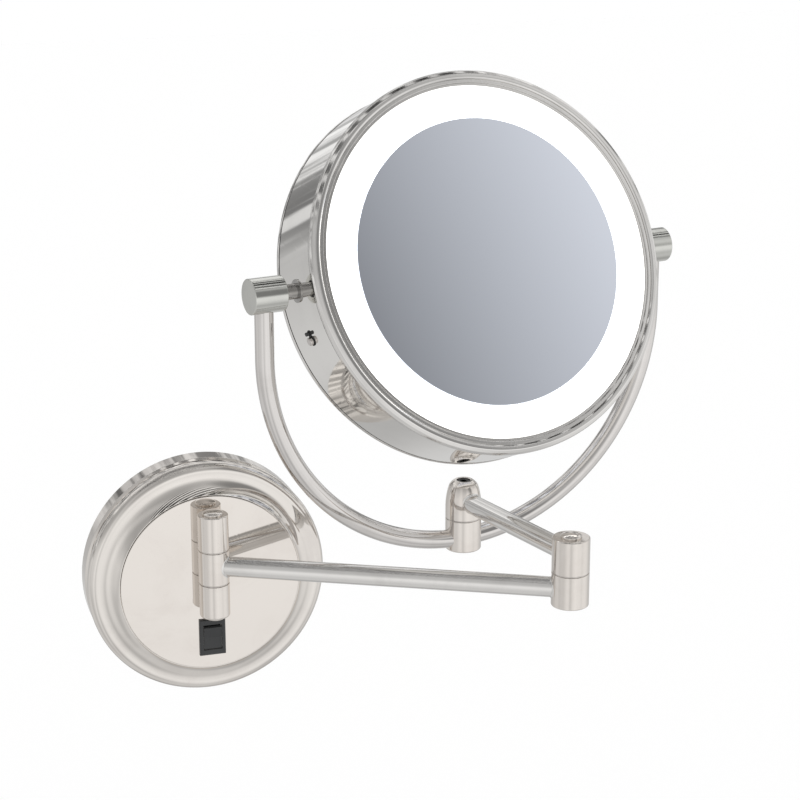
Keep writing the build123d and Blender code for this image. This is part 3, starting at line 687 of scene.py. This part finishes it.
barrel_inner, barrel_outer, barrel_radius = 100.1, 117.1, 8.75
pin_bore, bore_end = 3.85, barrel_outer - 2.6
friction_radius, friction_low = 4.9, barrel_inner - 0.6
for side, turn in (("left", TO_LEFT), ("right", TO_RIGHT)):
    barrel_outline = rounded([
        (0, bore_end), (pin_bore, bore_end), (pin_bore, barrel_inner, 0.2),
        (barrel_radius, barrel_inner, 0.4), (barrel_radius, barrel_outer, 0.45), (0, barrel_outer)],
        closed=False)
    dress(turned(f"{side}_yoke_barrel", barrel_outline, yoke_frame @ turn, closed=False, around=160),
          nickel_barrel, "yoke", "barrel_metal", f"{side}_barrel")
    ring_outline = rounded([(pin_bore, friction_low), (friction_radius, friction_low, 0.2),
                            (friction_radius, barrel_inner), (pin_bore, barrel_inner)], steps=4)
    dress(turned(f"{side}_friction_ring", ring_outline, yoke_frame @ turn, around=96),
          black_rubber, "yoke", "black_rubber", "friction_rings")

# ---- head ---------------------------------------------------------------------------------
drum_radius, drum_wall, bezel_seat = 94.9, 1.6, 17.6
front, rear = head_frame @ TO_FRONT, head_frame @ TO_REAR
drum_outline = [(drum_radius - drum_wall, -bezel_seat), (drum_radius, -bezel_seat),
                (drum_radius, bezel_seat), (drum_radius - drum_wall, bezel_seat)]
dress(turned("drum_wall", drum_outline, front, around=512), nickel_drum, "head", "drum_metal", "drum_shell")


def bezel(name, place):
    """Stepped ring: dark seat groove, bead, crowned band, two fine grooves and the inner lip."""
    outline = rounded([
        (93.3, 17.6), (93.7, 17.6), (93.7, 18.2), (95.1, 18.2, 0.15), (95.3, 18.9, 0.3), (95.3, 20.1, 0.9),
        (94.7, 21.7, 1.0), (93.0, 22.8, 1.4), (91.4, 22.8, 0.8), (90.6, 22.2, 0.2), (90.6, 21.6),
        (90.3, 21.6), (90.3, 22.2, 0.12), (88.9, 22.2, 0.3), (88.6, 21.9, 0.1), (88.6, 21.5),
        (88.35, 21.5), (88.35, 22.0, 0.1), (87.4, 22.0, 0.2), (87.1, 21.6, 0.1), (87.1, 21.0),
        (90.9, 21.0), (90.9, 19.6), (93.2, 19.6)], steps=6)
    return turned(name, outline, place, around=512, sharp=40)


opal_inner, opal_outer, opal_back, opal_face = 71.5, 90.7, 19.0, 21.0
opal_outline = rounded([(opal_inner, opal_back), (opal_outer, opal_back), (opal_outer, opal_face, 0.1),
                        (opal_inner, opal_face, 0.15)], steps=3)
for side, place, opal, opal_slot in (("front", front, lit_opal, "lit_diffuser"),
                                     ("rear", rear, plain_opal, "unlit_diffuser")):
    dress(bezel(f"{side}_bezel_ring", place), nickel_bezel, "head", "bezel_metal", f"{side}_bezel")
    dress(turned(f"{side}_opal_ring", opal_outline, place, around=384),
          opal, "head", opal_slot, f"{side}_diffuser")

glass_radius, glass_back, glass_face = 71.2, 18.5, 21.5
glass_outline = rounded([(0, glass_back), (glass_radius, glass_back, 0.15), (glass_radius, glass_face, 0.35),
                         (0, glass_face)], closed=False, steps=5)
dress(turned("front_glass", glass_outline, front, closed=False, around=384),
      mirror_glass, "head", "mirror_glass", "front_mirror")


def magnifying_glass():
    """Rear glass, its face a shallow hollow: depth = (rim^2 - r^2) / (2 * curve)."""
    rim, curve = 70.2, 1200.0
    r = np.linspace(rim, 0, 60)
    face = np.stack([r, glass_face - (rim ** 2 - r ** 2) / (2 * curve)], -1)
    edge = rounded([(0, glass_back), (glass_radius, glass_back, 0.15), (glass_radius, glass_face, 0.3),
                    (rim, glass_face)], closed=False)
    outline = np.concatenate([edge, face[1:]])
    return turned("rear_glass", outline, rear, closed=False, around=384)


dress(magnifying_glass(), mirror_glass, "head", "mirror_glass", "rear_mirror")

pin_radius, pin_root, pin_short = 3.8, 80.0, 3.0   # the pin stops short of the barrel's outer face
boss_radius, boss_low, boss_high = 5.7, 93.6, 95.5
boss_outline = rounded([(pin_radius, boss_low), (boss_radius, boss_low), (boss_radius, boss_high, 0.15),
                        (pin_radius, boss_high)], steps=4)
for side, turn, offset in (("left", TO_LEFT, head_offset), ("right", TO_RIGHT, -head_offset)):
    reach = barrel_outer - pin_short + offset
    dress(shaft(f"{side}_tilt_pin", pin_radius, pin_root, reach, head_frame @ turn, ease=0.3),
          nickel_pin, "head", "pin_metal", "tilt_pins")
    dress(turned(f"{side}_pin_boss", boss_outline, head_frame @ turn, around=96),
          nickel_pin, "head", "pin_metal", "tilt_bosses")

# push buttons under the left pin
button_root, button_face = 90.0, 97.1
collar_low, collar_high = 93.4, 95.25
for name, radius, angle, look, slot in (
        ("large_button", 2.0, 15.0, nickel_button, "button_metal"),
        ("small_button", 0.95, 12.75, black_button, "button_black")):
    place = head_frame @ Matrix.Rotation(radians(180 - angle), 4, "Y") @ TO_RIGHT
    outline = rounded([(0, button_root), (radius, button_root), (radius, button_face, 0.3 * radius),
                       (0, button_face)], closed=False)
    dress(turned(f"{name}_cap", outline, place, closed=False, around=64), look, name, slot, name)
    # Each collar is a thin real ring, but its black is painted shade: it stands for the shade in the gap
    # round the button.
    inner, outer = radius + 0.08, radius + 0.63
    shade_collar = rounded([(inner, collar_low), (outer, collar_low), (outer, collar_high, 0.15),
                      (inner, collar_high, 0.1)], steps=4)
    dress(turned(f"{name}_collar", shade_collar, place, around=64),
          black_rubber, "head", "black_rubber", "button_collars")

paint(white_tray, "front_carrier_plate", "rear_carrier_plate", "front_mirror_cup", "rear_mirror_cup")
paint(white_board, "front_led_board", "rear_led_board")
paint(phosphor, "front_leds", "rear_leds")
paint(grey_plastic, "button_housing")


# ---- studio -------------------------------------------------------------------------------
view_heading, view_pitch = radians(17.24), radians(17.25)
view_right = Vector((cos(view_heading), -sin(view_heading), 0))


def ramp(tree, stops):
    """Tone against height: stops are (sine of elevation from -1 to 1, tone)."""
    made = node(tree, "ShaderNodeValToRGB")
    elements = made.color_ramp.elements
    for _ in range(len(stops) - 2):
        elements.new(0.5)
    for element, (height, tone) in zip(elements, stops):
        element.position = (height + 1) / 2
        element.color = (tone, tone, tone, 1)
    return made


def smooth_step(tree, source, low, high, out_low=0.0, out_high=1.0):
    """Smooth change from one value to another between two values of a source socket."""
    made = node(tree, "ShaderNodeMapRange", interpolation_type="SMOOTHSTEP")
    for label, value in (("From Min", low), ("From Max", high), ("To Min", out_low), ("To Max", out_high)):
        made.inputs[label].default_value = value
    tree.links.new(source, made.inputs["Value"])
    return made.outputs["Result"]


def arithmetic(tree, operation, *values):
    """One Math node on sockets or plain numbers."""
    made = node(tree, "ShaderNodeMath", operation=operation)
    for socket, value in zip(made.inputs, values):
        if isinstance(value, (int, float)):
            socket.default_value = value
        else:
            tree.links.new(value, socket)
    return made.outputs[0]


def blended(tree, factor, first, second):
    """Mix of two tones by a factor."""
    return arithmetic(tree, "ADD", first, arithmetic(
        tree, "MULTIPLY", factor, arithmetic(tree, "SUBTRACT", second, first)))


def along(tree, direction, axis):
    """How far a direction points along an axis."""
    made = node(tree, "ShaderNodeVectorMath", operation="DOT_PRODUCT")
    made.inputs[1].default_value = axis
    tree.links.new(direction, made.inputs[0])
    return made.outputs["Value"]


# The glass looks up and to the right, at a wall that brightens across the view.
glass_faces = (head_frame.to_3x3() @ Vector((0, -1, 0))).normalized()
view_line = Vector((sin(view_heading) * cos(view_pitch), cos(view_heading) * cos(view_pitch),
                    -sin(view_pitch)))
glass_sees = view_line.reflect(glass_faces)
sweep_rise = 0.51                 # the wall brightens to the right, and this much as fast upwards
glass_sweep = (view_right + Vector((0, 0, sweep_rise))).normalized().reflect(glass_faces)
front_wall = view_line.reflect(Vector((0, -1, 0)))


def drawn_noise(tree, where, scale, detail, roughness, stretch, turn=(0, 0, 0)):
    """Noise over directions, after a turn and a stretch. Returns its value socket."""
    mapping = node(tree, "ShaderNodeMapping")
    mapping.inputs["Rotation"].default_value = turn
    mapping.inputs["Scale"].default_value = stretch
    tree.links.new(where, mapping.inputs["Vector"])
    noise = node(tree, "ShaderNodeTexNoise")
    noise.inputs["Scale"].default_value = scale
    noise.inputs["Detail"].default_value = detail
    noise.inputs["Roughness"].default_value = roughness
    tree.links.new(mapping.outputs["Vector"], noise.inputs["Vector"])
    return noise.outputs["Fac"]


def room_bays(tree, where, depth, height):
    """Bays of light and dark in the room behind and above."""
    noise = drawn_noise(tree, where, scale=15, detail=3, roughness=0.6,
                        stretch=(1.0, 0.5, 0.45), turn=(0.25, 0.5, 0.1))
    tone = smooth_step(tree, noise, 0.42, 0.58, -0.28, 0.28)
    behind = smooth_step(tree, depth, -0.1, 0.25)
    above_floor = smooth_step(tree, height, -0.16, 0.02)
    below_ceiling = smooth_step(tree, height, 0.86, 0.6)
    zone = arithmetic(tree, "MULTIPLY", behind, arithmetic(tree, "MULTIPLY", above_floor, below_ceiling))
    return arithmetic(tree, "MULTIPLY", tone, zone)


def upright_folds(tree, where):
    """Soft upright folds all round."""
    noise = drawn_noise(tree, where, scale=1.5, detail=0, roughness=0.5, stretch=(1, 1, 0.12))
    return smooth_step(tree, noise, 0.35, 0.65, -0.16, 0.06)


def ceiling_battens(tree, across, depth, height):
    """Bright battens across a grey ceiling.

    They are bands of the point (across / height, depth / height), where a direction meets a flat
    ceiling. The height is kept above a floor value, so that level directions stay finite.
    """
    safe_height = arithmetic(tree, "MAXIMUM", height, 0.2)
    ceiling = node(tree, "ShaderNodeCombineXYZ")
    tree.links.new(arithmetic(tree, "DIVIDE", across, safe_height), ceiling.inputs["X"])
    tree.links.new(arithmetic(tree, "DIVIDE", depth, safe_height), ceiling.inputs["Y"])
    battens = node(tree, "ShaderNodeTexWave", wave_type="BANDS", bands_direction="DIAGONAL")
    battens.inputs["Scale"].default_value = 2.6
    battens.inputs["Distortion"].default_value = 1.2
    battens.inputs["Detail"].default_value = 1
    tree.links.new(ceiling.outputs[0], battens.inputs["Vector"])
    tone = smooth_step(tree, battens.outputs["Fac"], 0.60, 0.82, -0.20, 0.55)
    return arithmetic(tree, "MULTIPLY", tone, smooth_step(tree, height, 0.66, 0.80))


def wall_before_glass(tree, where):
    """Tone of the wall that the glass looks at.

    It is middle + slope * (how far a direction points along the sweep, less the same for the
    line that the glass sees), kept between a darkest and a brightest tone.
    """
    middle, slope, darkest, brightest = 0.281, 4.07, 0.27, 0.80
    from_middle = arithmetic(tree, "SUBTRACT", along(tree, where, glass_sweep), glass_sees.dot(glass_sweep))
    tone = arithmetic(tree, "MULTIPLY_ADD", from_middle, slope, middle)
    return arithmetic(tree, "MINIMUM", arithmetic(tree, "MAXIMUM", tone, darkest), brightest)


def world_light():
    """White world. Gloss sees a bright front, a greyer band above it, and a lit room behind."""
    world = bpy.data.worlds.new("studio")
    bpy.context.scene.world = world
    world.use_nodes = True
    tree = world.node_tree
    link = tree.links.new
    back = tree.nodes["Background"]
    where = node(tree, "ShaderNodeTexCoord").outputs["Generated"]
    split = node(tree, "ShaderNodeSeparateXYZ")
    link(where, split.inputs[0])
    across, depth, height = split.outputs
    level = arithmetic(tree, "MULTIPLY_ADD", height, 0.5, 0.5)
    before = ramp(tree, [(-1, 0.66), (-0.75, 0.70), (-0.45, 0.82), (-0.30, 0.91), (-0.05, 0.96), (0.12, 0.84),
                         (0.26, 0.70), (0.45, 0.62), (0.68, 0.60), (0.84, 0.38), (1, 0.36)])
    behind = ramp(tree, [(-1, 0.66), (-0.62, 0.66), (-0.36, 0.68), (-0.18, 0.70), (-0.04, 0.68), (0.08, 0.60),
                         (0.30, 0.50), (0.46, 0.60), (0.62, 0.86), (0.76, 0.70), (0.88, 0.42), (1, 0.40)])
    link(level, before.inputs["Fac"])
    link(level, behind.inputs["Fac"])
    rear_share = smooth_step(tree, depth, -0.25, 0.35)
    base = blended(tree, rear_share, before.outputs["Color"], behind.outputs["Color"])
    pattern = arithmetic(tree, "ADD", upright_folds(tree, where), room_bays(tree, where, depth, height))
    room = arithmetic(tree, "ADD", base, pattern)
    room = arithmetic(tree, "ADD", room, ceiling_battens(tree, across, depth, height))
    front_glow = smooth_step(tree, along(tree, where, front_wall), 0.80, 0.98, 0.0, 0.24)
    room = arithmetic(tree, "ADD", room, front_glow)
    near_glass = smooth_step(tree, along(tree, where, glass_sees), 0.90, 0.985)
    tone = blended(tree, near_glass, room, wall_before_glass(tree, where))
    darkest, brightest = 0.04, 1.15
    seen = arithmetic(tree, "MAXIMUM", arithmetic(tree, "MINIMUM", tone, brightest), darkest)
    gloss = node(tree, "ShaderNodeLightPath").outputs["Is Glossy Ray"]
    link(blended(tree, gloss, 1.0, seen), back.inputs["Color"])
    back.inputs["Strength"].default_value = 1.0


def floor():
    """Plain pale floor well below the mirror. Gloss does not see it, only the studio."""
    half, level = 6.0, -0.62
    mesh = bpy.data.meshes.new("floor")
    mesh.from_pydata([(-half, -half, level), (half, -half, level), (half, half, level), (-half, half, level)],
                     [], [(0, 1, 2, 3)])
    made = bpy.data.objects.new("floor", mesh)
    bpy.context.scene.collection.objects.link(made)
    material, tree, shader = surface("pale floor")
    shader.inputs["Base Color"].default_value = (0.998, 0.998, 0.998, 1)
    shader.inputs["Roughness"].default_value = 0.9
    shader.inputs["Specular IOR Level"].default_value = 0.0
    mesh.materials.append(material)
    made.visible_glossy = False


world_light()
floor()
bpy.context.scene.view_settings.view_transform = "Standard"

camera_data = bpy.data.cameras.new("camera")
camera_data.sensor_width = 36.0
camera_data.lens = 103.5
camera = bpy.data.objects.new("camera", camera_data)
bpy.context.scene.collection.objects.link(camera)
camera.location = (-0.22618, -1.07301, 0.42630)
camera.rotation_euler = (pi / 2 - view_pitch, 0, -view_heading)
bpy.context.scene.camera = camera
